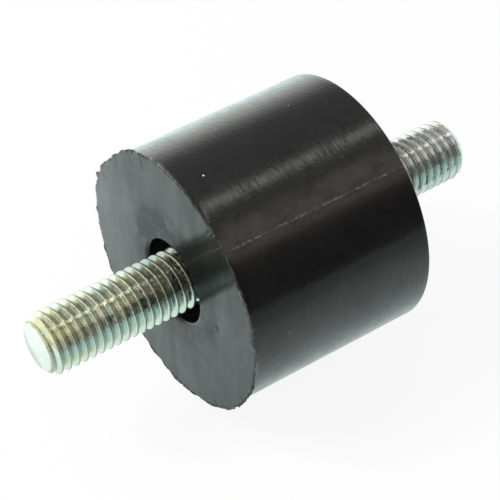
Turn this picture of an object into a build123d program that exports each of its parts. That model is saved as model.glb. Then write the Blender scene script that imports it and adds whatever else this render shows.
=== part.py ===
from build123d import *
import math
import os

# Cylindrical (bobbin) rubber-to-metal vibration mount with a threaded stud at each end.
# The mount lies on its side: its axis is X, and +Z is up.
# The origin is where the axis crosses the front face; the rear face is at +X.
# All sizes are in millimetres.

# Rubber body
BODY_DIAMETER = 50.0
BODY_LENGTH = 40.0
REAR_RIM_CHAMFER = 0.3
RECESS_DIAMETER = 16.6
RECESS_MOUTH_RADIUS = 0.8
END_COVER = 5.0  # rubber over the outer face of each end plate

# Steel end plates bonded inside the rubber
PLATE_DIAMETER = 42.0
PLATE_THICKNESS = 3.0
PLATE_EDGE_CHAMFER = 0.3

# Studs, M12, with a neck pressed into the plate and a round head behind it
STUD_DIAMETER = 12.0
STUD_TIP_DIAMETER = 9.0
NECK_DIAMETER = 13.0
HEAD_DIAMETER = 20.0
HEAD_THICKNESS = 3.0
FRONT_STUD_REACH = 28.9  # beyond the rubber's front face
REAR_STUD_REACH = 25.0  # beyond the rubber's rear face

# Torn mould flash round the front rim
FLASH_THICKNESS = 0.6
FLASH_REACH = 0.85  # mean stand-out from the side of the body
FLASH_WAVE = 0.08  # height of its slow waves
FLASH_STEPS = 144
# Chunks and tears: place round the rim in degrees, half width in degrees, extra stand-out.
# The place is counted from -Y towards +Z.
FLASH_TEARS = (
    (8.0, 5.0, 0.3),
    (26.0, 6.0, 0.35),
    (38.0, 4.0, -0.4),
    (70.0, 5.0, -0.3),
    (118.0, 8.0, 0.1),
    (138.0, 11.0, -0.42),
    (161.2, 2.0, 0.5),
    (270.0, 4.0, 0.4),
    (287.0, 6.0, -0.3),
    (321.0, 2.5, -0.4),
    (329.0, 7.0, -0.15),
    (345.0, 6.0, 0.25),
)


def stud(reach):
    """Stud that points along -X, with its head behind the plate; the tip is at x = -reach."""
    tip_radius = STUD_TIP_DIAMETER / 2
    shank_radius = STUD_DIAMETER / 2
    under_head = END_COVER + PLATE_THICKNESS
    outline = Polyline(
        (-reach, 0),
        (-reach, tip_radius),
        (-reach + shank_radius - tip_radius, shank_radius),
        (END_COVER, shank_radius),
        (END_COVER, NECK_DIAMETER / 2),
        (under_head, NECK_DIAMETER / 2),
        (under_head, HEAD_DIAMETER / 2),
        (under_head + HEAD_THICKNESS, HEAD_DIAMETER / 2),
        (under_head + HEAD_THICKNESS, 0),
        close=True,
    )
    return revolve(make_face(outline), axis=Axis.X)


def end_plate():
    """Bonded steel disc whose hole holds the neck of the stud."""
    outer_face = Plane.YZ.offset(END_COVER)
    disc = extrude(outer_face * Circle(PLATE_DIAMETER / 2), PLATE_THICKNESS)
    disc = chamfer(disc.edges().filter_by(GeomType.CIRCLE), PLATE_EDGE_CHAMFER)
    hole = extrude(outer_face * Circle(NECK_DIAMETER / 2), PLATE_THICKNESS)
    return disc - hole


def to_rear(piece):
    """Carry a front piece over to the rear end."""
    return mirror(piece, about=Plane.YZ.offset(BODY_LENGTH / 2))


def flash_reach(place):
    """How far the torn flash stands out from the side at a place round the rim, in degrees."""
    turn = math.radians(place)
    reach = FLASH_REACH
    reach += FLASH_WAVE * (math.sin(7 * turn) + 0.6 * math.sin(19 * turn + 1) + 0.5 * math.sin(43 * turn))
    for middle, half_width, extra in FLASH_TEARS:
        away = abs((place - middle + 180) % 360 - 180) / half_width
        reach += extra * max(0.0, 1 - away**4)
    return reach


def flash():
    """Thin ragged lip in the plane of the front face."""
    points = []
    for step in range(FLASH_STEPS):
        place = 360 * step / FLASH_STEPS
        radius = BODY_DIAMETER / 2 + flash_reach(place)
        turn = math.radians(place)
        points.append((-radius * math.cos(turn), radius * math.sin(turn)))
    outline = Polyline(*points, close=True)
    return extrude(Plane.YZ * make_face(outline), FLASH_THICKNESS)


def recess():
    """Space round the front stud, from the face down to the plate, with a softened mouth."""
    bore_radius = RECESS_DIAMETER / 2
    mouth_radius = bore_radius + RECESS_MOUTH_RADIUS
    walls = Polyline(
        (RECESS_MOUTH_RADIUS, bore_radius),
        (END_COVER, bore_radius),
        (END_COVER, 0),
        (0, 0),
        (0, mouth_radius),
    )
    flare = CenterArc((RECESS_MOUTH_RADIUS, mouth_radius), RECESS_MOUTH_RADIUS, 180, 90)
    return revolve(make_face((walls + flare).edges()), axis=Axis.X)


def rubber_body(inserts):
    """One moulding: the barrel, moulded round the inserts, with its recesses and its flash."""
    barrel = extrude(Plane.YZ * Circle(BODY_DIAMETER / 2), BODY_LENGTH)
    rear_rim = barrel.edges().filter_by(GeomType.CIRCLE).sort_by(Axis.X)[-1]
    barrel = chamfer(rear_rim, REAR_RIM_CHAMFER)
    moulding = barrel + flash()
    moulding -= recess()
    moulding -= to_rear(recess())
    for insert in inserts:
        moulding -= insert
    return moulding


front_stud = stud(FRONT_STUD_REACH)
rear_stud = to_rear(stud(REAR_STUD_REACH))
front_plate = end_plate()
rear_plate = to_rear(end_plate())

pieces = {
    "rubber_body": rubber_body((front_plate, rear_plate, front_stud, rear_stud)),
    "front_plate": front_plate,
    "rear_plate": rear_plate,
    "front_stud": front_stud,
    "rear_stud": rear_stud,
}

os.makedirs("parts", exist_ok=True)
for name, piece in pieces.items():
    export_step(piece, f"parts/{name}.step")
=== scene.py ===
import math

import bmesh
import bpy
from mathutils import Matrix, Vector, noise


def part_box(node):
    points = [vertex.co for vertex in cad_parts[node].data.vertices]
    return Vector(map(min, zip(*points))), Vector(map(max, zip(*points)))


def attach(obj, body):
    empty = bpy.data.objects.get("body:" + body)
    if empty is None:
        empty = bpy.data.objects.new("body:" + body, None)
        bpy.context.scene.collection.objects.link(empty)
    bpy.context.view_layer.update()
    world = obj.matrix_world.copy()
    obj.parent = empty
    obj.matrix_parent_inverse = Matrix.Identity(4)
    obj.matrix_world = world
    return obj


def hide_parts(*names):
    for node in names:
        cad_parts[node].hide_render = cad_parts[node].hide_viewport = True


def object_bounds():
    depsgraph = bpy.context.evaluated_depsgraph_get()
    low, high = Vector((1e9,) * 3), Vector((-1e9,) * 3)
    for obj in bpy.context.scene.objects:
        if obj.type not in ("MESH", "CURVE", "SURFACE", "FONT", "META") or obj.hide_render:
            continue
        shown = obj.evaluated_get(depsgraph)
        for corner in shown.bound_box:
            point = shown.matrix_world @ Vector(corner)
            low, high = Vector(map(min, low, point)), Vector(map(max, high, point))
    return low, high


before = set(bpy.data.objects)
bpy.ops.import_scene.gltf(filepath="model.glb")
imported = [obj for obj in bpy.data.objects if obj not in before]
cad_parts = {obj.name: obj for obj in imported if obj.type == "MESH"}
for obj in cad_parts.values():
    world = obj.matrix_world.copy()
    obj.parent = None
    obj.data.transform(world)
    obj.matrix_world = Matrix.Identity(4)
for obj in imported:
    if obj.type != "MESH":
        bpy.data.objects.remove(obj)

bl_info = {
    "name": "Bobbin vibration mount",
    "version": (1, 0, 0),
    "blender": (4, 5, 0),
    "location": "View3D > Sidebar > Mount",
    "description": "Rubber bobbin mount with two threaded studs, and the stage it lies on",
    "category": "Add Mesh",
}

MM = 0.001
CAD_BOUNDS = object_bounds()
BODY_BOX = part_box("rubber_body")
FRONT_STUD_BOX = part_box("front_stud")
REAR_STUD_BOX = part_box("rear_stud")
BODY_MIDDLE = (BODY_BOX[0].x + BODY_BOX[1].x) / 2


# ---------------------------------------------------------------- properties


def length(name, description, default):
    """A length property in metres."""
    return bpy.props.FloatProperty(
        name=name, description=description, default=default, unit="LENGTH", precision=5
    )


def amount(name, description, default):
    """A plain factor."""
    return bpy.props.FloatProperty(name=name, description=description, default=default, soft_min=0)


def colour(name, description, default):
    """A linear RGB colour."""
    return bpy.props.FloatVectorProperty(
        name=name, description=description, default=default, subtype="COLOR", size=3, min=0, max=1
    )


class MountRubber(bpy.types.PropertyGroup):
    """Sizes and colours of the rubber moulding"""

    radius: length("Radius", "Radius of the rubber's side", 25 * MM)
    front: length("Front face", "Place of the front face on the axis", BODY_BOX[0].x)
    rear: length("Rear face", "Place of the rear face on the axis", BODY_BOX[1].x)
    rear_rim: length("Rear rim radius", "Rounding of the clean rear rim", 0.3 * MM)
    recess: length("Recess radius", "Radius of the recess round each stud", 8.3 * MM)
    mouth: length("Recess mouth", "Rounding of the recess's mouth", 0.8 * MM)
    cover: length("End cover", "Rubber over the outer face of each plate", 5 * MM)
    plate_radius: length("Plate radius", "Radius of the bonded end plates", 21 * MM)
    plate_thickness: length("Plate thickness", "Thickness of the end plates", 3 * MM)
    head_radius: length("Head radius", "Radius of each stud's head", 10 * MM)
    head_thickness: length("Head thickness", "Thickness of each stud's head", 3 * MM)
    flash: length("Flash reach", "Mean stand-out of the torn flash", 0.85 * MM)
    flash_root: length("Flash root", "Thickness of the flash where it leaves the side", 0.6 * MM)
    flash_tip: length("Flash tip", "Thickness of the flash at its torn edge", 0.2 * MM)
    seam_height: length("Seam height", "Height of the mould's parting line", 0.05 * MM)
    seam_width: length("Seam width", "Half width of the mould's parting line", 0.24 * MM)
    seam_place: bpy.props.FloatProperty(
        name="Seam place",
        description="Angle of the parting line from the top, towards -Y",
        default=math.radians(40),
        subtype="ANGLE",
    )
    side_colour: colour("Side colour", "Colour of the moulded side", (0.0062, 0.0054, 0.0052))
    end_colour: colour("End colour", "Colour of the end faces", (0.0070, 0.0078, 0.0080))
    bloom_colour: colour("Bloom colour", "Colour of the bloom on the rubber", (0.115, 0.135, 0.132))
    seam_colour: colour("Seam colour", "Colour of the scuffed parting line", (0.26, 0.205, 0.155))


class MountStuds(bpy.types.PropertyGroup):
    """Sizes and colours of the two studs"""

    major: length("Thread radius", "Outer radius of the thread", 6 * MM)
    depth: length("Thread depth", "Depth of the thread", 1.02 * MM)
    pitch: length("Thread pitch", "Axial distance from crest to crest", 1.75 * MM)
    crest: length("Crest width", "Width of the thread's rounded crest", 0.28 * MM)
    root: length("Root width", "Width of the thread's root", 0.22 * MM)
    tip: length("Tip radius", "Radius of the flat at the tip", 4.5 * MM)
    neck: length("Neck radius", "Radius of the neck pressed into the plate", 6.5 * MM)
    silver: colour("Zinc", "Bare colour of the plating", (0.88, 0.95, 0.88))
    gold: colour("Gold tint", "Yellow tint of the passivation", (0.92, 0.90, 0.50))
    # painted sheen: the teal laid on the studs' lower side, standing in for the film's iridescent sheen and
    # reflection seen there
    lower_sheen_teal: colour("Teal tint", "Blue-green tint of the passivation", (0.76, 0.96, 0.92))
    lilac: colour("Lilac tint", "Pink tint of the passivation", (0.90, 0.80, 0.90))


class MountStage(bpy.types.PropertyGroup):
    """The floor, the light and the camera"""

    floor_radius: length("Floor radius", "Radius of the pale floor", 0.45)
    floor_colour: colour("Floor colour", "Colour of the floor", (0.86, 0.86, 0.86))
    ambient: amount("Ambient light", "Strength of the even light from all round", 0.55)
    whiteness: amount("Floor whiteness", "Share of the floor that shows plain white to the camera", 0.90)
    key: bpy.props.FloatProperty(
        name="Key light", description="Power of the soft key light", default=5.0, unit="POWER"
    )
    lens: bpy.props.FloatProperty(
        name="Lens", description="Focal length", default=149, subtype="DISTANCE_CAMERA"
    )
    distance: length("Camera distance", "From the aim point to the camera", 0.3772)
    azimuth: bpy.props.FloatProperty(
        name="Azimuth",
        description="Camera's turn about the vertical, 0 looking along +Y",
        default=math.radians(-35.64),
        subtype="ANGLE",
    )
    elevation: bpy.props.FloatProperty(
        name="Elevation",
        description="Camera's height above the horizon",
        default=math.radians(43.38),
        subtype="ANGLE",
    )
    aim: bpy.props.FloatVectorProperty(
        name="Aim point",
        description="The point that the camera looks at",
        default=(13.8 * MM, -5.02 * MM, 4.19 * MM),
        subtype="XYZ",
        unit="LENGTH",
        size=3,
    )


# ---------------------------------------------------------------- mesh helpers


def spin_outline(bm, outline, angle, steps, advance=0.0):
    """Spin an outline of (x, radius) points about the X axis, moving along it by advance a step."""
    points = [bm.verts.new((x, radius, 0)) for x, radius in outline]
    edges = [bm.edges.new(pair) for pair in zip(points, points[1:])]
    bmesh.ops.spin(
        bm,
        geom=points + edges,
        cent=(0, 0, 0),
        axis=(1, 0, 0),
        dvec=(advance, 0, 0),
        angle=angle,
        steps=steps,
        use_merge=False,
        use_duplicate=False,
    )


def repeat(bm, move, times):
    """Double the mesh so many times; each copy is placed by the move, which doubles too."""
    for _ in range(times):
        copy = bmesh.ops.duplicate(bm, geom=bm.verts[:] + bm.edges[:] + bm.faces[:])
        verts = [item for item in copy["geom"] if isinstance(item, bmesh.types.BMVert)]
        bmesh.ops.transform(bm, matrix=move, verts=verts)
        move = move @ move
    bmesh.ops.remove_doubles(bm, verts=bm.verts, dist=MM / 1000)


def lathe(bm, outline, steps):
    """Turn an outline of (x, radius) points about the X axis into a closed skin."""
    doublings = 4
    sector = math.tau / 2**doublings
    spin_outline(bm, outline, sector, steps // 2**doublings)
    repeat(bm, Matrix.Rotation(sector, 4, "X"), doublings)


def arc(centre, radius, start, end, count):
    """Points (x, radius) of an arc in the outline's plane; angles in degrees."""
    angles = [math.radians(start + (end - start) * i / count) for i in range(count + 1)]
    return [(centre[0] + radius * math.cos(a), centre[1] + radius * math.sin(a)) for a in angles]


def line(start, end, count):
    """Evenly spaced points from start to end, without the last."""
    return [
        (start[0] + (end[0] - start[0]) * i / count, start[1] + (end[1] - start[1]) * i / count)
        for i in range(count)
    ]


def add_piece(name, bm, materials, sharp=35):
    """Make an object of a bmesh, smooth but for its sharp edges, riding on the mount."""
    bmesh.ops.recalc_face_normals(bm, faces=bm.faces)
    mesh = bpy.data.meshes.new(name)
    bm.to_mesh(mesh)
    bm.free()
    mesh.shade_smooth()
    mesh.set_sharp_from_angle(angle=math.radians(sharp))
    for material in materials:
        mesh.materials.append(material)
    piece = bpy.data.objects.new(name, mesh)
    bpy.context.scene.collection.objects.link(piece)
    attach(piece, "root")
    return piece


# ---------------------------------------------------------------- material helpers


class Nodes:
    """Short calls for building one node tree."""

    def __init__(self, tree):
        self.tree = tree

    def add(self, kind, links=None, **settings):
        """Add a node; settings are its attributes, links map its inputs to sockets or values."""
        node = self.tree.nodes.new(kind)
        for key, value in settings.items():
            setattr(node, key, value)
        for key, value in (links or {}).items():
            self.put(node.inputs[key], value)
        return node

    def put(self, socket, value):
        """Link a socket, or set its value."""
        if isinstance(value, bpy.types.NodeSocket):
            self.tree.links.new(value, socket)
        else:
            socket.default_value = value

    def math(self, operation, a, b=0.0, c=0.0, clamp=False):
        """Result of a Math node."""
        node = self.add("ShaderNodeMath", operation=operation, use_clamp=clamp)
        for socket, value in zip(node.inputs, (a, b, c)):
            self.put(socket, value)
        return node.outputs[0]

    def times(self, first, *others):
        """Multiply values together."""
        for other in others:
            first = self.math("MULTIPLY", first, other)
        return first

    def total(self, base, *parts):
        """A base plus each (value, share) pair's product, held between 0 and 1."""
        for value, share in parts:
            base = self.math("MULTIPLY_ADD", value, share, base)
        return self.math("ADD", base, clamp=True)

    def ramp(self, value, *stops):
        """Colour ramp of (position, colour) stops."""
        node = self.add("ShaderNodeValToRGB", {"Fac": value})
        elements = node.color_ramp.elements
        while len(elements) < len(stops):
            elements.new(0.5)
        for element, (position, shade) in zip(elements, stops):
            element.position = position
            element.color = (*shade, 1)
        return node.outputs["Color"]

    def smooth(self, value, low, high, to_low=0.0, to_high=1.0):
        """Smooth step: to_low up to low, to_high from high on."""
        links = {"Value": value, "From Min": low, "From Max": high, "To Min": to_low, "To Max": to_high}
        node = self.add("ShaderNodeMapRange", links, interpolation_type="SMOOTHSTEP")
        return node.outputs["Result"]

    def band(self, angle, middle, inner, outer):
        """Mask of a band at an angle in degrees, full within inner radians and gone past outer."""
        away = self.math("ABSOLUTE", self.math("SUBTRACT", angle, math.radians(middle)))
        return self.smooth(away, inner, outer, 1.0, 0.0)

    def noise(self, vector, scale, detail=3.0, roughness=0.5, distortion=0.0):
        """Noise texture from 0 to 1."""
        links = {
            "Vector": vector,
            "Scale": scale,
            "Detail": detail,
            "Roughness": roughness,
            "Distortion": distortion,
        }
        return self.add("ShaderNodeTexNoise", links).outputs["Fac"]

    def mapped(self, vector, scale=(1, 1, 1), location=(0, 0, 0), rotation=(0, 0, 0)):
        """A vector scaled, then turned, then moved."""
        links = {"Vector": vector, "Scale": scale, "Location": location, "Rotation": rotation}
        return self.add("ShaderNodeMapping", links).outputs["Vector"]

    def blend(self, factor, a, b, mode="MIX"):
        """Mix two colours, each a socket or a plain tuple."""
        node = self.add("ShaderNodeMix", data_type="RGBA", blend_type=mode, clamp_factor=True)
        self.put(node.inputs[0], factor)
        for socket, shade in ((node.inputs[6], a), (node.inputs[7], b)):
            self.put(socket, (*shade, 1) if isinstance(shade, tuple) else shade)
        return node.outputs[2]

    def bump(self, height, distance, strength, normal=None):
        """Raise the surface by the height times the distance."""
        node = self.add("ShaderNodeBump", {"Height": height, "Distance": distance, "Strength": strength})
        if normal is not None:
            self.put(node.inputs["Normal"], normal)
        return node.outputs["Normal"]

    def dent(self, mask, depth, strength, normal):
        """Sink the surface where the mask is."""
        return self.bump(mask, -depth, strength, normal)


def rgb(value):
    """Plain tuple of a colour property."""
    return tuple(value)


def new_material(name):
    """An empty node material with a Principled shader; gives the material, nodes and shader."""
    material = bpy.data.materials.new(name)
    material.use_nodes = True
    tree = material.node_tree
    tree.nodes.clear()
    nodes = Nodes(tree)
    shader = nodes.add("ShaderNodeBsdfPrincipled")
    nodes.add("ShaderNodeOutputMaterial", {"Surface": shader.outputs["BSDF"]})
    return material, nodes, shader


def effect_group(name, inputs, outputs):
    """A node group with float or vector sockets; gives the tree, its nodes and its ends."""
    tree = bpy.data.node_groups.new(name, "ShaderNodeTree")
    for label, kind, default in inputs:
        socket = tree.interface.new_socket(label, in_out="INPUT", socket_type=kind)
        if default is not None:
            socket.default_value = default
    for label, kind in outputs:
        tree.interface.new_socket(label, in_out="OUTPUT", socket_type=kind)
    nodes = Nodes(tree)
    return tree, nodes, nodes.add("NodeGroupInput"), nodes.add("NodeGroupOutput")


def axial_group():
    """Splits a place into its distance along the axis, its distance from it and its turn round it."""
    tree, nodes, start, end = effect_group(
        "Axial place",
        [("Vector", "NodeSocketVector", None)],
        [("Along", "NodeSocketFloat"), ("Radius", "NodeSocketFloat"), ("Turn", "NodeSocketFloat")],
    )
    parts = nodes.add("ShaderNodeSeparateXYZ", {"Vector": start.outputs["Vector"]})
    across = nodes.add("ShaderNodeCombineXYZ", {"Y": parts.outputs["Y"], "Z": parts.outputs["Z"]})
    reach = nodes.add("ShaderNodeVectorMath", {0: across.outputs[0]}, operation="LENGTH")
    turn = nodes.math("ARCTAN2", nodes.times(parts.outputs["Y"], -1.0), parts.outputs["Z"])
    nodes.put(end.inputs["Along"], parts.outputs["X"])
    nodes.put(end.inputs["Radius"], reach.outputs["Value"])
    nodes.put(end.inputs["Turn"], turn)
    return tree


def cloud_group():
    """Soft uneven patches at two sizes, as of bloom or handling."""
    tree, nodes, start, end = effect_group(
        "Clouds",
        [("Vector", "NodeSocketVector", None), ("Scale", "NodeSocketFloat", 60.0)],
        [("Mask", "NodeSocketFloat")],
    )
    vector, scale = start.outputs["Vector"], start.outputs["Scale"]
    large = nodes.noise(vector, scale, detail=4.0, roughness=0.55, distortion=0.6)
    small = nodes.noise(vector, nodes.times(scale, 5.0), detail=5.0, roughness=0.6, distortion=0.3)
    both = nodes.total(0.0, (large, 0.65), (small, 0.35))
    nodes.put(end.inputs["Mask"], nodes.smooth(both, 0.3, 0.7))
    return tree


def scratch_group():
    """Sparse fine scratches along the vector's X direction."""
    tree, nodes, start, end = effect_group(
        "Scratches",
        [
            ("Vector", "NodeSocketVector", None),
            ("Scale", "NodeSocketFloat", 300.0),
            ("Amount", "NodeSocketFloat", 0.5),
        ],
        [("Mask", "NodeSocketFloat")],
    )
    vector, scale = start.outputs["Vector"], start.outputs["Scale"]
    stretched = nodes.mapped(vector, scale=(0.06, 1, 1))
    lines = nodes.noise(stretched, scale, detail=2.0, distortion=0.2)
    patches = nodes.noise(vector, nodes.times(scale, 0.25), detail=2.0)
    thin = nodes.smooth(lines, 0.66, 0.72)
    where = nodes.smooth(patches, 0.52, 0.64)
    nodes.put(end.inputs["Mask"], nodes.times(thin, where, start.outputs["Amount"]))
    return tree


def fleck_group():
    """Sparse small dust flecks."""
    tree, nodes, start, end = effect_group(
        "Dust flecks",
        [
            ("Vector", "NodeSocketVector", None),
            ("Scale", "NodeSocketFloat", 400.0),
            ("Share", "NodeSocketFloat", 0.03),
        ],
        [("Mask", "NodeSocketFloat")],
    )
    cells = nodes.add(
        "ShaderNodeTexVoronoi", {"Vector": start.outputs["Vector"], "Scale": start.outputs["Scale"]}
    )
    chance = nodes.add("ShaderNodeSeparateColor", {"Color": cells.outputs["Color"]}).outputs["Red"]
    chosen = nodes.math("LESS_THAN", chance, start.outputs["Share"])
    dot = nodes.smooth(cells.outputs["Distance"], 0.12, 0.28, 1.0, 0.0)
    nodes.put(end.inputs["Mask"], nodes.times(chosen, dot))
    return tree


GROUP_MAKERS = {
    "axial": axial_group,
    "clouds": cloud_group,
    "scratches": scratch_group,
    "flecks": fleck_group,
}
GROUPS = {}


def effect(nodes, kind, links):
    """Place a shared effect in a material; its node group is built at first use."""
    if kind not in GROUPS:
        GROUPS[kind] = GROUP_MAKERS[kind]()
    node = nodes.add("ShaderNodeGroup", node_tree=GROUPS[kind])
    for key, value in links.items():
        nodes.put(node.inputs[key], value)
    return node


def mask(nodes, kind, **links):
    """Place a shared effect in a material and give its mask."""
    return effect(nodes, kind, links).outputs["Mask"]


def unrolled(nodes, axial, radius):
    """A round surface laid flat: X along the axis, Y the arc round it at the radius."""
    arc_length = nodes.times(axial.outputs["Turn"], radius)
    return nodes.add("ShaderNodeCombineXYZ", {"X": axial.outputs["Along"], "Y": arc_length}).outputs[0]


# ---------------------------------------------------------------- rubber materials

# Colours of wear and dirt on the rubber
SEAM_BROWN = (0.0150, 0.0098, 0.0085)
SCUFF_GREY = (0.06, 0.06, 0.058)
SCRATCH_GREY = (0.12, 0.12, 0.115)
PIT_BLACK = (0.002, 0.002, 0.002)
DUST_WHITE = (0.75, 0.74, 0.70)

# Bands along the side: the turn of the middle from the top towards -Y, in degrees,
# and the half widths in radians within which the mark is full and past which it is gone.
RUBBED_BAND = (19, 0.09, 0.16)
WORN_BAND = (35, 0.10, 0.17)

SWIRL_RADIUS = 7 * MM  # where the swirls on the end faces are as long as they are wide


def side_material(sizes):
    """Moulded side: near-black satin with turning marks, a scuffed seam and dust."""
    material, nodes, shader = new_material("Moulded rubber side")
    place = nodes.add("ShaderNodeTexCoord").outputs["Object"]
    axial = effect(nodes, "axial", {"Vector": place})
    turn = axial.outputs["Turn"]
    wrapped = unrolled(nodes, axial, sizes.radius)

    rings = nodes.noise(nodes.mapped(wrapped, scale=(1, 0.45, 1)), 1500.0, detail=2.0, roughness=0.6)
    dashes = nodes.noise(nodes.mapped(wrapped, scale=(1, 0.16, 1)), 1500.0, detail=2.0, roughness=0.6)
    ticks = nodes.smooth(dashes, 0.36, 0.66)
    clouds = mask(nodes, "clouds", Vector=place, Scale=70.0)
    smudges = mask(nodes, "clouds", Vector=nodes.mapped(place, location=(0.3, 0.1, 0)), Scale=140.0)
    slanted = nodes.mapped(wrapped, rotation=(0, 0, math.radians(50)), scale=(0.15, 1, 1))
    wipes = nodes.noise(slanted, 700.0, roughness=0.6, distortion=0.2)
    scuffs = mask(nodes, "scratches", Vector=wrapped, Scale=1300.0, Amount=0.8)
    flecks = mask(nodes, "flecks", Vector=place, Scale=1100.0, Share=0.004)

    from_seam = nodes.math("SUBTRACT", turn, sizes.seam_place)
    off_seam = nodes.math("ABSOLUTE", nodes.math("WRAP", from_seam, math.pi / 2, -math.pi / 2))
    seam_edge = sizes.seam_width / sizes.radius
    seam = nodes.smooth(off_seam, seam_edge * 0.2, seam_edge * 1.6, 1.0, 0.0)
    dots = nodes.smooth(nodes.noise(wrapped, 1700.0, detail=4.0, roughness=0.7), 0.38, 0.70)
    gaps = nodes.smooth(nodes.noise(wrapped, 240.0, detail=2.0), 0.36, 0.54)
    seam_worn = nodes.times(seam, dots, gaps)
    beside = nodes.smooth(off_seam, 0.04, 0.24, 1.0, 0.0)

    stroked = nodes.mapped(wrapped, rotation=(0, 0, 0.25), scale=(1, 0.11, 1))
    strokes = nodes.smooth(nodes.noise(stroked, 2300.0, detail=2.0, roughness=0.6), 0.42, 0.58)
    rubbed = nodes.smooth(nodes.noise(wrapped, 190.0, roughness=0.6), 0.38, 0.60, 0.25, 1.0)
    tick_marks = nodes.times(strokes, rubbed, nodes.band(turn, *RUBBED_BAND))
    stretched = nodes.mapped(wrapped, scale=(0.5, 1, 1))
    patches = nodes.noise(stretched, 330.0, detail=4.0, roughness=0.6, distortion=0.6)
    patchy = nodes.times(nodes.smooth(patches, 0.46, 0.60), nodes.band(turn, *WORN_BAND))

    brown = nodes.blend(beside, rgb(sizes.side_colour), SEAM_BROWN)
    cloudy = nodes.blend(nodes.times(clouds, 0.04), brown, rgb(sizes.bloom_colour))
    scuffed = nodes.blend(nodes.times(scuffs, 0.4), cloudy, SCUFF_GREY)
    seamed = nodes.blend(nodes.times(seam_worn, 0.8), scuffed, rgb(sizes.seam_colour))
    nodes.put(shader.inputs["Base Color"], nodes.blend(flecks, seamed, DUST_WHITE))

    rough = nodes.total(0.17, (ticks, 0.06), (smudges, 0.08), (seam_worn, 0.3))
    nodes.put(shader.inputs["Roughness"], rough)
    worn = ((smudges, -0.30), (ticks, -0.12), (patchy, -0.45), (tick_marks, -0.80), (seam_worn, -1.0))
    nodes.put(shader.inputs["Coat Weight"], nodes.total(1.06, *worn))
    shader.inputs["Coat Roughness"].default_value = 0.12
    shader.inputs["IOR"].default_value = 1.5

    turned = nodes.bump(rings, 0.11 * MM, 0.6)
    wiped = nodes.bump(wipes, 0.014 * MM, 0.4, turned)
    nodes.put(shader.inputs["Normal"], nodes.dent(scuffs, 0.03 * MM, 0.5, wiped))
    return material


def end_material(sizes):
    """End faces: satin black with a slate bloom, smears, scratches, pits and a torn rim."""
    material, nodes, shader = new_material("Moulded rubber end")
    place = nodes.add("ShaderNodeTexCoord").outputs["Object"]
    axial = effect(nodes, "axial", {"Vector": place})
    radius, turn = axial.outputs["Radius"], axial.outputs["Turn"]
    parts = nodes.add("ShaderNodeSeparateXYZ", {"Vector": place})
    across, height = parts.outputs["Y"], parts.outputs["Z"]

    clouds = mask(nodes, "clouds", Vector=place, Scale=42.0)
    slanted = nodes.mapped(place, rotation=(math.radians(55), 0, 0), scale=(1, 1, 0.22))
    smears = nodes.noise(slanted, 260.0, detail=4.0, roughness=0.55, distortion=0.8)
    worn_side = nodes.times(
        nodes.smooth(across, 6 * MM, 25 * MM),
        nodes.smooth(height, 4 * MM, 20 * MM, 1.0, 0.0),
    )
    bent = nodes.add("ShaderNodeCombineXYZ", {"X": nodes.times(turn, SWIRL_RADIUS), "Y": radius})
    whirls = nodes.noise(bent.outputs[0], 420.0, detail=4.0, roughness=0.6, distortion=0.5)
    near_recess = nodes.smooth(radius, sizes.recess * 1.1, sizes.recess * 2.1, 1.0, 0.0)
    upper = nodes.smooth(height, 2 * MM, 9 * MM, 0.35, 1.0)
    swirls = nodes.times(nodes.smooth(whirls, 0.30, 0.58), near_recess, upper)
    rim_length = nodes.times(turn, sizes.radius)
    spokes = nodes.add("ShaderNodeCombineXYZ", {"X": rim_length, "Y": nodes.times(radius, 0.2)})
    cuts = nodes.smooth(nodes.noise(spokes.outputs[0], 900.0, roughness=0.6), 0.56, 0.66)
    nicks = nodes.times(cuts, nodes.smooth(radius, sizes.radius * 0.86, sizes.radius * 1.01))
    tilted = nodes.mapped(place, rotation=(math.radians(25), 0, math.radians(90)))
    scratches = mask(nodes, "scratches", Vector=tilted, Scale=900.0, Amount=1.0)
    pits = mask(nodes, "flecks", Vector=place, Scale=330.0, Share=0.022)
    grain = nodes.noise(place, 5200.0, detail=2.0, roughness=0.6)
    torn_edge = nodes.times(
        nodes.smooth(radius, sizes.radius + 0.05 * MM, sizes.radius + 0.45 * MM),
        nodes.smooth(height, -12 * MM, -3 * MM, 1.0, 0.15),
    )
    ragged = nodes.times(torn_edge, nodes.smooth(nodes.noise(place, 420.0, detail=2.0), 0.40, 0.52))
    broken = nodes.times(torn_edge, nodes.noise(place, 900.0, roughness=0.6))

    bloomy = nodes.blend(nodes.times(clouds, 0.05), rgb(sizes.end_colour), rgb(sizes.bloom_colour))
    pitted = nodes.blend(nodes.times(pits, 0.8), bloomy, PIT_BLACK)
    scratched = nodes.blend(nodes.times(scratches, 0.3), pitted, SCRATCH_GREY)
    nodes.put(shader.inputs["Base Color"], scratched)

    nodes.put(shader.inputs["Roughness"], nodes.total(0.15, (clouds, 0.08), (swirls, 0.12)))
    polished = ((clouds, 0.34), (smears, 0.9), (worn_side, 0.45))
    dulled = ((swirls, -1.0), (nicks, -0.45), (pits, -1.0), (ragged, -1.0))
    nodes.put(shader.inputs["Coat Weight"], nodes.total(-0.17, *polished, *dulled))
    shader.inputs["Coat Roughness"].default_value = 0.10
    shader.inputs["IOR"].default_value = 1.36

    fine = nodes.bump(grain, 0.006 * MM, 0.3)
    nicked = nodes.dent(nicks, 0.05 * MM, 0.7, fine)
    torn = nodes.bump(broken, 0.5 * MM, 1.0, nicked)
    marked = nodes.dent(scratches, 0.03 * MM, 0.5, torn)
    nodes.put(shader.inputs["Normal"], nodes.dent(pits, 0.08 * MM, 0.6, marked))
    return material


# ---------------------------------------------------------------- metal materials

# Colours of the plating's film, wear and dirt, and of the shade painted on it near the rubber and in the
# thread's roots
FILM_BLUE = (0.55, 0.88, 0.88)
REAR_ZINC = (0.93, 0.96, 0.99)
TIP_ZINC = (0.95, 0.97, 0.90)
CREST_BROWN = (0.36, 0.32, 0.22)
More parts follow.
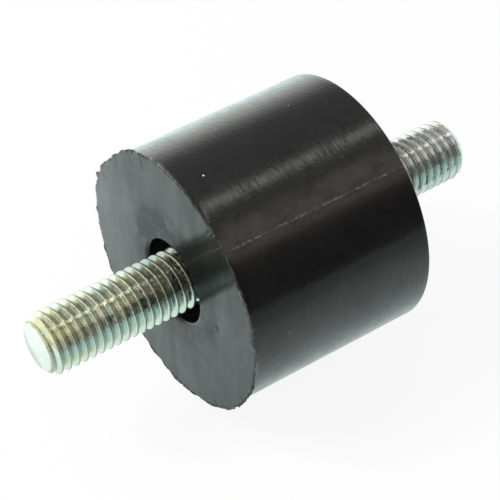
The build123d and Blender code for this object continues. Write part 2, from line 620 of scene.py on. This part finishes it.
# painted shade on the stud near the rubber face
PAINTED_SHADE_GREY = (0.16, 0.165, 0.15)
# faint grime, and the painted shade in the thread's roots
GRIME_AND_SHADE_BROWN = (0.30, 0.26, 0.17)

# Colours of the plates' steel, where it is dull and where it is bright
DULL_STEEL = (0.05, 0.05, 0.052)
BRIGHT_STEEL = (0.15, 0.15, 0.15)


def plated_material(sizes):
    """Bright zinc with an uneven iridescent passivation and fine rolling marks, with painted shade near the
    rubber and in the thread's roots and a painted teal sheen on the lower side.
    """
    material, nodes, shader = new_material("Passivated zinc")
    place = nodes.add("ShaderNodeTexCoord").outputs["Object"]
    axial = effect(nodes, "axial", {"Vector": place})
    along, radius = axial.outputs["Along"], axial.outputs["Radius"]
    off_top = nodes.math("ABSOLUTE", axial.outputs["Turn"])
    towards_rear = nodes.smooth(along, 20 * MM, 45 * MM)
    wrapped = unrolled(nodes, axial, sizes.major)

    film = nodes.noise(nodes.mapped(wrapped, scale=(1, 0.5, 1)), 330.0, roughness=0.6, distortion=1.2)
    fine = nodes.noise(place, 1900.0, roughness=0.7)
    mixed = nodes.total(0.0, (film, 0.55), (fine, 0.45))
    tint = nodes.ramp(
        mixed,
        (0.38, FILM_BLUE),
        (0.45, rgb(sizes.silver)),
        (0.51, rgb(sizes.silver)),
        (0.54, rgb(sizes.gold)),
        (0.58, rgb(sizes.silver)),
        (0.63, rgb(sizes.lilac)),
    )
    yellowed = nodes.times(
        nodes.smooth(along, -28 * MM, -14 * MM, 0.40, 0.06),
        nodes.smooth(radius, sizes.tip, sizes.tip + 0.3 * MM),
    )
    warm = nodes.blend(yellowed, tint, rgb(sizes.gold))
    cool = nodes.blend(nodes.times(towards_rear, 0.7), warm, REAR_ZINC)
    # Painted sheen: the lower side is tinted teal, standing in for the film's angle-dependent iridescence
    # and reflection as seen from this side.
    painted_lower_sheen = nodes.times(
        nodes.smooth(off_top, math.radians(50), math.radians(72), 0.0, 0.9),
        nodes.smooth(off_top, math.radians(84), math.radians(104), 1.0, 0.3),
    )
    cut = nodes.smooth(radius, sizes.tip - 0.1 * MM, sizes.tip + 0.2 * MM, 1.0, 0.0)
    sheened_film = nodes.blend(cut, nodes.blend(painted_lower_sheen, cool, rgb(sizes.lower_sheen_teal)), TIP_ZINC)
    worn = nodes.smooth(radius, sizes.major - 0.14 * MM, sizes.major - 0.03 * MM, 0.0, 0.70)
    browned = nodes.blend(worn, sheened_film, CREST_BROWN)
    # Painted shade: the upper side of the front stud is darkened grey near the rubber face, where the
    # rubber shades it.
    painted_shade = nodes.times(
        nodes.smooth(along, -13 * MM, -2 * MM, 0.0, 0.58),
        nodes.smooth(along, 5 * MM, 20 * MM, 1.0, 0.0),
        nodes.smooth(off_top, math.radians(55), math.radians(80), 1.0, 0.0),
    )
    shaded_near_body = nodes.blend(painted_shade, browned, PAINTED_SHADE_GREY)
    # Painted shade in the thread's roots, with faint stains of real dirt over the whole stud.
    bottom = sizes.major - sizes.depth
    groove_shade = nodes.times(
        nodes.smooth(radius, bottom, bottom + 0.24 * sizes.depth, 1.0, 0.0),
        nodes.smooth(radius, sizes.tip, bottom - 0.1 * MM),
    )
    stains = mask(nodes, "clouds", Vector=place, Scale=220.0)
    grime_and_groove_shade = nodes.total(0.0, (stains, 0.06), (groove_shade, 0.6))
    nodes.put(shader.inputs["Base Color"], nodes.blend(grime_and_groove_shade, shaded_near_body, GRIME_AND_SHADE_BROWN))

    # The film hides part of the metal, most of it near the tip of the front stud.
    bare = nodes.smooth(along, -28 * MM, -6 * MM, 1.62, 1.76)
    nodes.put(shader.inputs["Metallic"], nodes.total(bare, (towards_rear, -0.16), (mixed, -1.70)))
    nodes.put(shader.inputs["Roughness"], nodes.total(0.07, (stains, 0.08)))

    marks = nodes.noise(nodes.mapped(wrapped, scale=(1, 0.08, 1)), 2600.0, roughness=0.6)
    dents = nodes.noise(place, 1900.0, detail=2.0)
    scratches = mask(nodes, "scratches", Vector=nodes.mapped(wrapped, rotation=(0, 0, 1.4)), Scale=2200.0)
    rolled = nodes.bump(marks, 0.015 * MM, 0.6)
    dented = nodes.bump(dents, 0.06 * MM, 0.6, rolled)
    nodes.put(shader.inputs["Normal"], nodes.dent(scratches, 0.02 * MM, 0.5, dented))
    return material


def plate_material():
    """Plain steel of the bonded plates, dulled by bonding agent."""
    material, nodes, shader = new_material("Bonded plate steel")
    place = nodes.add("ShaderNodeTexCoord").outputs["Object"]
    stains = mask(nodes, "clouds", Vector=place, Scale=160.0)
    nodes.put(shader.inputs["Base Color"], nodes.blend(stains, DULL_STEEL, BRIGHT_STEEL))
    shader.inputs["Metallic"].default_value = 0.7
    nodes.put(shader.inputs["Roughness"], nodes.total(0.4, (stains, 0.2)))
    grain = nodes.noise(place, 3000.0)
    nodes.put(shader.inputs["Normal"], nodes.bump(grain, 0.01 * MM, 0.5))
    return material


# ---------------------------------------------------------------- rubber body

BODY_STEPS = 720  # faces round the axis
# Rings of faces along each stretch of the outline
SIDE_RINGS = 44
FRONT_FACE_RINGS = 8
REAR_FACE_RINGS = 6
FRONT_RECESS_RINGS = 6
REAR_RECESS_RINGS = 4
MOUTH_RINGS = 6
REAR_RIM_RINGS = 5

# Chunks and tears of the flash: place round the rim in degrees from -Y towards +Z,
# half width in degrees, extra stand-out in mm.
FLASH_TEARS = (
    (8.0, 5.0, 0.3),
    (26.0, 6.0, 0.35),
    (38.0, 4.0, -0.4),
    (70.0, 5.0, -0.3),
    (118.0, 8.0, 0.1),
    (138.0, 11.0, -0.42),
    (161.2, 2.0, 0.5),
    (270.0, 4.0, 0.4),
    (287.0, 6.0, -0.3),
    (321.0, 2.5, -0.4),
    (329.0, 7.0, -0.15),
    (345.0, 6.0, 0.25),
)

# How ragged the torn edge is: place round the rim in degrees, share of the full raggedness.
FLASH_EDGE = (
    (0.0, 0.9),
    (60.0, 0.8),
    (120.0, 0.6),
    (176.0, 0.5),
    (186.0, 0.14),
    (258.0, 0.14),
    (265.0, 0.9),
    (284.0, 0.7),
    (300.0, 0.25),
    (316.0, 0.35),
    (323.0, 0.9),
    (336.0, 0.7),
    (346.0, 0.35),
    (360.0, 0.9),
)

# Waves of the flash, with their heights in mm; an uneven wave is a frequency and a height
SLOW_WAVE = 0.08
RAGGED_REACH = ((38, 0.24), (95, 0.18))
FORE_AND_AFT = ((14, 0.28), (60, 0.14))
LEAST_REACH = 0.05  # in mm, where the flash is torn away

# Depths behind the front face, in thicknesses of the flash's root
FLASH_LIMIT = 1.2  # behind it nothing is torn
SIDE_START = 1.3

SEAM_GRAIN = 1.1 * MM  # length of the breaks in the seams


def rubber_outline(sizes):
    """Outline (x, radius) of the moulding from the front core to the rear core."""
    front, rear, cover = sizes.front, sizes.rear, sizes.cover
    bore = sizes.recess
    behind_plate = cover + sizes.plate_thickness
    behind_head = behind_plate + sizes.head_thickness
    mouth_radius = bore + sizes.mouth

    def pocket(face, inward):
        return [
            (face + inward * behind_head, 0),
            (face + inward * behind_head, sizes.head_radius),
            (face + inward * behind_plate, sizes.head_radius),
            (face + inward * behind_plate, sizes.plate_radius),
            (face + inward * cover, sizes.plate_radius),
            (face + inward * cover, bore),
        ]

    points = pocket(front, 1)
    points += line((front + cover, bore), (front + sizes.mouth, bore), FRONT_RECESS_RINGS)[1:]
    points += arc((front + sizes.mouth, mouth_radius), sizes.mouth, 270, 180, MOUTH_RINGS)
    points += line((front, mouth_radius), (front, sizes.radius - sizes.flash), FRONT_FACE_RINGS)[1:]
    points += flash_outline(sizes)
    side_start = front + sizes.flash_root * SIDE_START
    side_end = rear - sizes.rear_rim
    points += line((side_start, sizes.radius), (side_end, sizes.radius), SIDE_RINGS)
    points += arc((side_end, sizes.radius - sizes.rear_rim), sizes.rear_rim, 90, 0, REAR_RIM_RINGS)
    points += line((rear, sizes.radius - sizes.rear_rim), (rear, mouth_radius), REAR_FACE_RINGS)[1:]
    points += arc((rear - sizes.mouth, mouth_radius), sizes.mouth, 0, -90, MOUTH_RINGS)
    points += line((rear - sizes.mouth, bore), (rear - cover, bore), REAR_RECESS_RINGS)[1:]
    points += pocket(rear, -1)[::-1]
    return points


def flash_outline(sizes):
    """The flash at its mean reach: front side, torn edge, back side and root."""
    root, tip = sizes.radius, sizes.radius + sizes.flash
    front, back = sizes.front, sizes.front + sizes.flash_root
    points = line((front, root - sizes.flash), (front, root), 4)
    points += line((front, root), (front + 0.3 * sizes.flash_tip, tip), 4)
    points += [(front + 0.6 * sizes.flash_tip, tip + 0.03 * MM), (front + sizes.flash_tip, tip - 0.04 * MM)]
    points += line((front + 1.1 * sizes.flash_tip, root + 0.75 * sizes.flash), (back, root), 3)
    return points


def edge_roughness(place):
    """How ragged the torn edge is at a place round the rim, in degrees."""
    for (start, low), (end, high) in zip(FLASH_EDGE, FLASH_EDGE[1:]):
        if start <= place <= end:
            return low + (high - low) * (place - start) / (end - start)
    return 1.0


def ripple(around, waves):
    """Uneven height in mm at a direction from the axis, the sum of the waves."""
    return sum(noise.noise(around * frequency) * height for frequency, height in waves)


def flash_reach(sizes, place):
    """Stand-out of the torn flash at a place round the rim, in degrees."""
    turn = math.radians(place)
    reach = sizes.flash / MM
    reach += SLOW_WAVE * (math.sin(7 * turn) + 0.6 * math.sin(19 * turn + 1) + 0.5 * math.sin(43 * turn))
    for middle, half_width, extra in FLASH_TEARS:
        away = abs((place - middle + 180) % 360 - 180) / half_width
        reach += extra * max(0.0, 1 - away**4)
    around = Vector((math.cos(turn), math.sin(turn), 0))
    reach += ripple(around, RAGGED_REACH) * edge_roughness(place % 360)
    return max(reach, LEAST_REACH) * MM


def tear_flash(bm, sizes):
    """Move the flash's rings in or out and fore or aft, so that its edge is torn and wavy."""
    limit = sizes.front + sizes.flash_root * FLASH_LIMIT
    for vert in bm.verts:
        radius = math.hypot(vert.co.y, vert.co.z)
        if radius <= sizes.radius + MM / 1000 or vert.co.x > limit:
            continue
        place = math.degrees(math.atan2(vert.co.z, -vert.co.y))
        share = (radius - sizes.radius) / sizes.flash
        wanted = sizes.radius + share * flash_reach(sizes, place)
        around = Vector((0, vert.co.y, vert.co.z)) / radius
        vert.co.y *= wanted / radius
        vert.co.z *= wanted / radius
        vert.co.x += share**2 * ripple(around, FORE_AND_AFT) * MM


def raise_seams(bm, sizes):
    """Lift the two lines where the halves of the mould met."""
    for vert in bm.verts:
        radius = math.hypot(vert.co.y, vert.co.z)
        if abs(radius - sizes.radius) > MM / 1000 or vert.co.x < sizes.front + sizes.flash_root:
            continue
        turn = math.atan2(-vert.co.y, vert.co.z)
        away = (turn - sizes.seam_place + math.pi / 2) % math.pi - math.pi / 2
        near = max(0.0, 1 - abs(away) * sizes.radius / sizes.seam_width)
        broken = 0.65 + 0.6 * noise.noise(Vector((vert.co.x / SEAM_GRAIN, turn, 0)))
        lift = near * broken * sizes.seam_height
        vert.co.y *= 1 + lift / radius
        vert.co.z *= 1 + lift / radius


def build_rubber(sizes):
    """The whole moulding as one closed skin, with a material for its side and its ends."""
    bm = bmesh.new()
    lathe(bm, rubber_outline(sizes), BODY_STEPS)
    tear_flash(bm, sizes)
    raise_seams(bm, sizes)
    bm.normal_update()
    # Faces near the front plane belong to the end; the flash's back side belongs to the side.
    fin_back = sizes.front + sizes.flash_tip * 0.8
    for face in bm.faces:
        middle = face.calc_center_median()
        radius = math.hypot(middle.y, middle.z)
        on_front = middle.x < fin_back and radius > sizes.recess
        on_rear = middle.x > sizes.rear - sizes.rear_rim / 4
        in_recess = radius < sizes.recess + sizes.mouth
        face.material_index = 1 if on_front or on_rear or in_recess else 0
    piece = add_piece("rubber_moulding", bm, [side_material(sizes), end_material(sizes)])
    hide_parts("rubber_body")


# ---------------------------------------------------------------- studs

THREAD_STEPS = 96  # faces round the axis
FLANK_SHARES = (0.08, 0.36, 0.64, 0.9)  # where the outline has points, from the root to the crest
TIP_ROUNDING = 0.12 * MM


def thread_outline(sizes):
    """One pitch of the thread as (x, radius) points, with flat flanks and eased corners."""
    top, bottom = sizes.major, sizes.major - sizes.depth
    root, crest, pitch = sizes.root, sizes.crest, sizes.pitch
    flank = (pitch - root - crest) / 2
    half = [(0, bottom), (root / 2, bottom + 0.02 * sizes.depth)]
    half += [(root / 2 + flank * share, bottom + sizes.depth * share) for share in FLANK_SHARES]
    half += [(root / 2 + flank, top - 0.035 * sizes.depth), (root / 2 + flank + crest * 0.25, top)]
    return half + [(pitch - x, radius) for x, radius in reversed(half)]


def threaded_rod(bm, sizes, start, end):
    """A right-hand thread from start to end along X, cut square at each end and left open there."""
    turns = (end - start) / sizes.pitch + 2
    first = start - sizes.pitch
    outline = [(first + x, radius) for x, radius in thread_outline(sizes)]
    spin_outline(bm, outline, math.tau, THREAD_STEPS, sizes.pitch / THREAD_STEPS)
    repeat(bm, Matrix.Translation((sizes.pitch, 0, 0)), math.ceil(math.log2(turns)))
    for place, outward in ((start, -1), (end, 1)):
        bmesh.ops.bisect_plane(
            bm,
            geom=bm.verts[:] + bm.edges[:] + bm.faces[:],
            dist=MM / 10000,
            plane_co=(place, 0, 0),
            plane_no=(outward, 0, 0),
            clear_outer=True,
        )


def turn_tip(bm, sizes, tip):
    """Turn the first threads down to the chamfer at the tip."""
    for vert in bm.verts:
        along = vert.co.x - tip
        if along > sizes.major:
            continue
        cone = sizes.tip + along - TIP_ROUNDING * math.exp(-along / TIP_ROUNDING)
        radius = math.hypot(vert.co.y, vert.co.z)
        if radius > cone:
            vert.co.y *= cone / radius
            vert.co.z *= cone / radius


def buried_end(rubber, sizes):
    """The neck in the plate and the head behind it, with the plate's outer face at x = 0."""
    neck_end = rubber.plate_thickness
    head_end = neck_end + rubber.head_thickness
    outline = [(0, 0), (0, sizes.neck), (neck_end, sizes.neck), (neck_end, rubber.head_radius)]
    outline += [(head_end, rubber.head_radius), (head_end, 0)]
    bm = bmesh.new()
    lathe(bm, outline, THREAD_STEPS)
    mesh = bpy.data.meshes.new("buried_end")
    bm.to_mesh(mesh)
    bm.free()
    return mesh


def build_stud(rubber, sizes, name, tip, face, inward, material):
    """One stud, made with its tip towards -X; inward is the way from its tip into the body."""
    plate_face = face + inward * rubber.cover
    reach = abs(plate_face - tip)
    bm = bmesh.new()
    threaded_rod(bm, sizes, -reach, 0)
    turn_tip(bm, sizes, -reach)
    rims = [edge for edge in bm.edges if edge.is_boundary]
    bmesh.ops.holes_fill(bm, edges=rims, sides=0)
    buried = buried_end(rubber, sizes)
    bm.from_mesh(buried)
    bpy.data.meshes.remove(buried)

    if inward < 0:
        bmesh.ops.rotate(bm, verts=bm.verts, cent=(0, 0, 0), matrix=Matrix.Rotation(math.pi, 3, "Z"))
    bmesh.ops.translate(bm, verts=bm.verts, vec=(plate_face, 0, 0))
    piece = add_piece(name + "_thread", bm, [material], sharp=50)
    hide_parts(name)


# ---------------------------------------------------------------- stage

# What shiny surfaces see, with a radiance of 1 as white. A lean is an angle round the mount's axis,
# in degrees from straight up towards -Y.
ROOM = (0, 60, 0.22, 0.04)  # two leans, and the radiance of the room at each
SOFTBOXES = (  # lean of the middle, half width, width of the soft edge, radiance
    (-115, 22, 36, (1.0, 1.05, 1.0)),  # wide wall at the back
    (-3, 1, 6, (1.6, 1.6, 1.5)),  # narrow strip overhead
    (33, 10, 9, (0.43, 0.41, 0.39)),  # weak lamp at the front
)
WALL_AHEAD = (0.75, 0.8, 0.65)  # beyond the front stud, above the horizon
FLOOR_AHEAD = (0.1, 0.1, 0.1)  # the same way, below the horizon
CARD_ANGLES = (22, 12)  # half angles at which the dark card starts and is full
CARD_DARKNESS = 0.96  # how much the card hides

# The floor in reflections: two places, and the glow at each. The glows multiply.
GLOW_ALONG_Y = (-180 * MM, 165 * MM, 0.22, 1.3)
GLOW_ALONG_X = (-260 * MM, -90 * MM, 0.25, 1.0)
GLOW_TINT = (0.90, 1.06, 1.03)
MIRRORED_GLOW = 0.92  # share of the glow in what reflections see of the floor

KEY_PLACE = (-0.45, 0.25, 0.55)
KEY_SIZE = 0.35


def build_world(stage):
    """White to the camera, an even light to matt surfaces, and a studio to glossy ones."""
    world = bpy.data.worlds.new("Studio")
    bpy.context.scene.world = world
    world.use_nodes = True
    tree = world.node_tree
    tree.nodes.clear()
    nodes = Nodes(tree)
    direction = nodes.add("ShaderNodeTexCoord").outputs["Generated"]
    parts = nodes.add("ShaderNodeSeparateXYZ", {"Vector": direction})
    lean = nodes.math("ARCTAN2", nodes.times(parts.outputs["Y"], -1.0), parts.outputs["Z"])
    start, end, overhead, low = ROOM
    studio = nodes.smooth(lean, math.radians(start), math.radians(end), overhead, low)
    for middle, half_width, soft_edge, radiance in SOFTBOXES:
        inside = nodes.band(lean, middle, math.radians(half_width), math.radians(half_width + soft_edge))
        studio = nodes.blend(inside, studio, radiance, "ADD")

    front = nodes.blend(nodes.smooth(parts.outputs["Z"], -0.05, 0.02), FLOOR_AHEAD, WALL_AHEAD)
    ahead = nodes.smooth(parts.outputs["X"], -0.75, -0.35, 1.0, 0.0)
    vectors = {0: direction, 1: back_to_camera(stage)}
    facing = nodes.add("ShaderNodeVectorMath", vectors, operation="DOT_PRODUCT").outputs["Value"]
    edge, core = (math.cos(math.radians(angle)) for angle in CARD_ANGLES)
    card = nodes.smooth(facing, edge, core, 0.0, CARD_DARKNESS)
    around = nodes.blend(card, nodes.blend(ahead, studio, front), (0.0, 0.0, 0.0))

    path = nodes.add("ShaderNodeLightPath")
    mirror = nodes.math("MAXIMUM", path.outputs["Is Glossy Ray"], path.outputs["Is Transmission Ray"])
    even = (stage.ambient, stage.ambient, stage.ambient)
    unseen = nodes.blend(mirror, even, around)
    seen = nodes.blend(path.outputs["Is Camera Ray"], unseen, (1.0, 1.0, 1.0))
    background = nodes.add("ShaderNodeBackground", {"Color": seen, "Strength": 1.0})
    nodes.add("ShaderNodeOutputWorld", {"Surface": background.outputs[0]})


def floor_material(stage):
    """Pale matt floor that looks white to the camera and bright in reflections, but keeps its shadow."""
    material = bpy.data.materials.new("Pale floor")
    material.use_nodes = True
    tree = material.node_tree
    tree.nodes.clear()
    nodes = Nodes(tree)
    place = nodes.add("ShaderNodeTexCoord").outputs["Object"]
    parts = nodes.add("ShaderNodeSeparateXYZ", {"Vector": place})
    along_y = nodes.smooth(parts.outputs["Y"], *GLOW_ALONG_Y)
    along_x = nodes.smooth(parts.outputs["X"], *GLOW_ALONG_X)
    glow = nodes.blend(1.0, nodes.times(along_y, along_x), GLOW_TINT, "MULTIPLY")
    path = nodes.add("ShaderNodeLightPath")
    mirror = nodes.math("MAXIMUM", path.outputs["Is Glossy Ray"], path.outputs["Is Transmission Ray"])
    shown = nodes.total(0.0, (path.outputs["Is Camera Ray"], stage.whiteness), (mirror, MIRRORED_GLOW))
    matt = nodes.add("ShaderNodeBsdfDiffuse", {"Color": (*rgb(stage.floor_colour), 1)})
    white = nodes.blend(mirror, (1.0, 1.0, 1.0), glow)
    lit = nodes.add("ShaderNodeEmission", {"Color": white, "Strength": 1.0})
    mix = nodes.add("ShaderNodeMixShader", {0: shown})
    nodes.put(mix.inputs[1], matt.outputs[0])
    nodes.put(mix.inputs[2], lit.outputs[0])
    nodes.add("ShaderNodeOutputMaterial", {"Surface": mix.outputs[0]})
    return material


def build_floor(stage):
    """Round pale floor under the mount's lowest point."""
    bm = bmesh.new()
    bmesh.ops.create_circle(bm, cap_ends=True, segments=96, radius=stage.floor_radius)
    bmesh.ops.translate(bm, verts=bm.verts, vec=(BODY_MIDDLE, 0, CAD_BOUNDS[0].z))
    mesh = bpy.data.meshes.new("floor")
    bm.to_mesh(mesh)
    bm.free()
    mesh.materials.append(floor_material(stage))
    floor = bpy.data.objects.new("floor", mesh)
    bpy.context.scene.collection.objects.link(floor)


def build_lamp(name, place, size, power):
    """Square soft lamp aimed at the middle of the mount."""
    data = bpy.data.lights.new(name, "AREA")
    data.shape = "SQUARE"
    data.size = size
    data.energy = power
    lamp = bpy.data.objects.new(name, data)
    aim = Vector((BODY_MIDDLE, 0, 0))
    lamp.location = place
    lamp.rotation_euler = (aim - Vector(place)).to_track_quat("-Z", "Y").to_euler()
    bpy.context.scene.collection.objects.link(lamp)
    return lamp


def back_to_camera(stage):
    """Unit vector from the aim point to the camera."""
    turn, lift = stage.azimuth, stage.elevation
    return Vector((math.sin(turn) * math.cos(lift), -math.cos(turn) * math.cos(lift), math.sin(lift)))


def build_camera(stage):
    """Camera on the aim point, level with the horizon."""
    data = bpy.data.cameras.new("Camera")
    data.lens = stage.lens
    data.sensor_width = 36
    data.clip_start = 0.01
    data.clip_end = 20
    camera = bpy.data.objects.new("Camera", data)
    back = back_to_camera(stage)
    camera.location = Vector(stage.aim) + back * stage.distance
    camera.rotation_euler = (-back).to_track_quat("-Z", "Y").to_euler()
    bpy.context.scene.collection.objects.link(camera)
    bpy.context.scene.camera = camera


# ---------------------------------------------------------------- operators and panel


class MOUNT_OT_rubber(bpy.types.Operator):
    """Build the moulded rubber body with its torn flash"""

    bl_idname = "mount.rubber"
    bl_label = "Rubber body"

    def execute(self, context):
        build_rubber(context.scene.mount_rubber)
        return {"FINISHED"}


class MOUNT_OT_studs(bpy.types.Operator):
    """Build the two threaded studs"""

    bl_idname = "mount.studs"
    bl_label = "Studs"

    def execute(self, context):
        rubber, studs = context.scene.mount_rubber, context.scene.mount_studs
        material = plated_material(studs)
        build_stud(rubber, studs, "front_stud", FRONT_STUD_BOX[0].x, rubber.front, 1, material)
        build_stud(rubber, studs, "rear_stud", REAR_STUD_BOX[1].x, rubber.rear, -1, material)
        return {"FINISHED"}


class MOUNT_OT_plates(bpy.types.Operator):
    """Give the bonded end plates their steel"""

    bl_idname = "mount.plates"
    bl_label = "End plates"

    def execute(self, context):
        material = plate_material()
        for name in ("front_plate", "rear_plate"):
            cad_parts[name].material_slots[0].material = material
        return {"FINISHED"}


class MOUNT_OT_stage(bpy.types.Operator):
    """Build the floor, the light and the camera"""

    bl_idname = "mount.stage"
    bl_label = "Stage"

    def execute(self, context):
        stage = context.scene.mount_stage
        build_world(stage)
        build_floor(stage)
        key = build_lamp("Key", KEY_PLACE, KEY_SIZE, stage.key)
        key.visible_glossy = False
        build_camera(stage)
        context.scene.view_settings.view_transform = "Standard"
        return {"FINISHED"}


class MOUNT_PT_sidebar(bpy.types.Panel):
    """Sizes, colours and build steps of the mount"""

    bl_label = "Bobbin mount"
    bl_idname = "MOUNT_PT_sidebar"
    bl_space_type = "VIEW_3D"
    bl_region_type = "UI"
    bl_category = "Mount"

    def draw(self, context):
        for group, operators in (
            (context.scene.mount_rubber, (MOUNT_OT_rubber, MOUNT_OT_plates)),
            (context.scene.mount_studs, (MOUNT_OT_studs,)),
            (context.scene.mount_stage, (MOUNT_OT_stage,)),
        ):
            box = self.layout.box()
            for name in group.__annotations__:
                box.prop(group, name)
            for operator in operators:
                box.operator(operator.bl_idname)


CLASSES = (
    MountRubber,
    MountStuds,
    MountStage,
    MOUNT_OT_rubber,
    MOUNT_OT_studs,
    MOUNT_OT_plates,
    MOUNT_OT_stage,
    MOUNT_PT_sidebar,
)


def register():
    for cls in CLASSES:
        bpy.utils.register_class(cls)
    bpy.types.Scene.mount_rubber = bpy.props.PointerProperty(type=MountRubber)
    bpy.types.Scene.mount_studs = bpy.props.PointerProperty(type=MountStuds)
    bpy.types.Scene.mount_stage = bpy.props.PointerProperty(type=MountStage)


def unregister():
    del bpy.types.Scene.mount_stage
    del bpy.types.Scene.mount_studs
    del bpy.types.Scene.mount_rubber
    for cls in reversed(CLASSES):
        bpy.utils.unregister_class(cls)


def main():
    """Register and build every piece."""
    register()
    bpy.ops.mount.rubber()
    bpy.ops.mount.studs()
    bpy.ops.mount.plates()
    bpy.ops.mount.stage()


if __name__ == "__main__":
    main()
